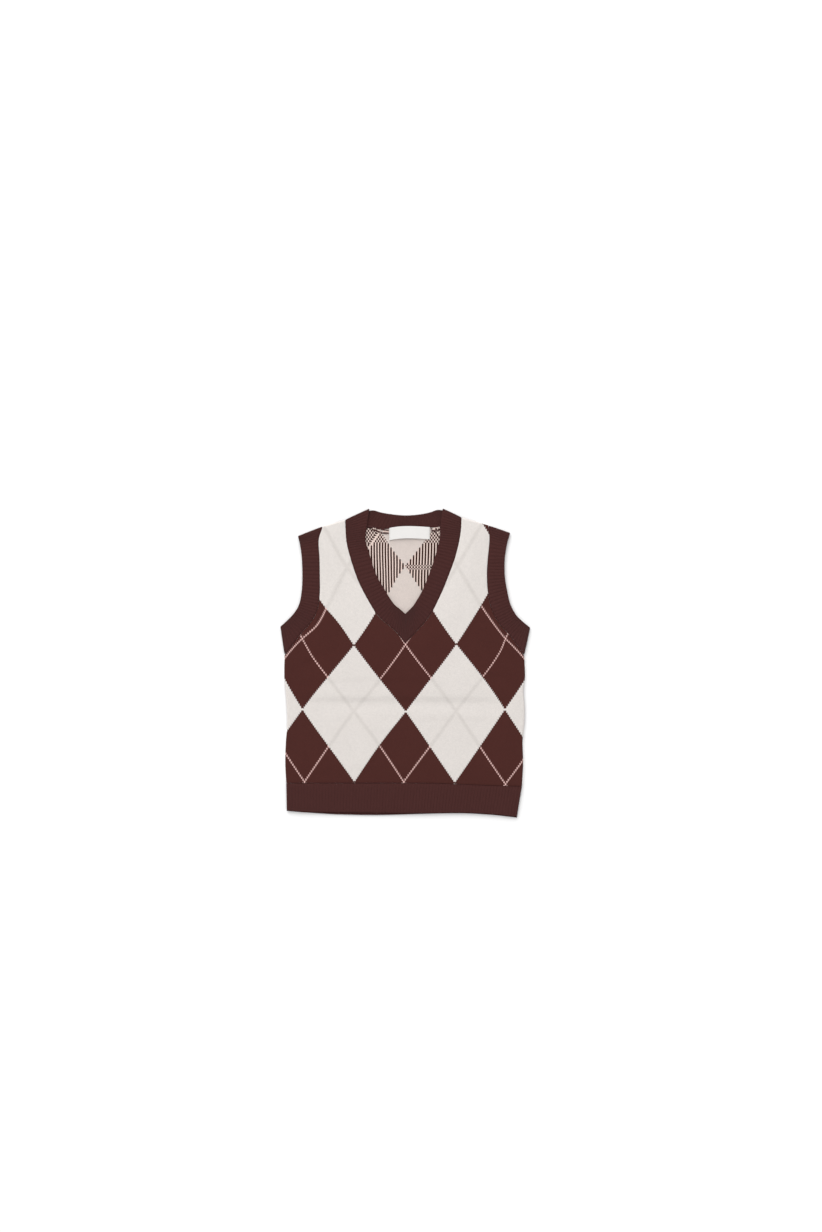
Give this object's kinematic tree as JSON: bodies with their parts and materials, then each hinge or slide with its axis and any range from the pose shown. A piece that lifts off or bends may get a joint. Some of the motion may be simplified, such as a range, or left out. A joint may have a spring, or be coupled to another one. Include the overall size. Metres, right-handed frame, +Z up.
{
  "type": "knitted sweater vest",
  "caption": "Child's sleeveless knitted vest with a V neck, argyle front and ribbed hem, neck and armholes, laid flat",
  "frame": {"origin": "under the middle of the vest, on the surface that it lies on", "axes": "+Z up out of the surface, through the back and then the front; +Y up the vest, from its hem to its neck; +X to the right as it is seen from above, which is the wearer's left"},
  "size_m": [0.2869, 0.355, 0.0052],
  "materials": {
    "back_knit": "matt jacquard knit with a birdseye and striped inside",
    "hem_back_rib": "matt one by one rib knit",
    "front_knit": "matt argyle jacquard knit",
    "hem_front_rib": "matt one by one rib knit",
    "neck_rib": "matt one by one rib knit",
    "left_arm_rib": "matt one by one rib knit",
    "right_arm_rib": "matt one by one rib knit",
    "label_weave": "smooth woven tape with a faint sheen"
  },
  "bodies": {
    "root": {"back_panel": "back_knit", "hem_rib_back": "hem_back_rib", "front_panel": "front_knit", "hem_rib_front": "hem_front_rib", "neckband": "neck_rib", "armband_left": "left_arm_rib", "armband_right": "right_arm_rib", "neck_label": "label_weave"}
  },
  "joints": []
}
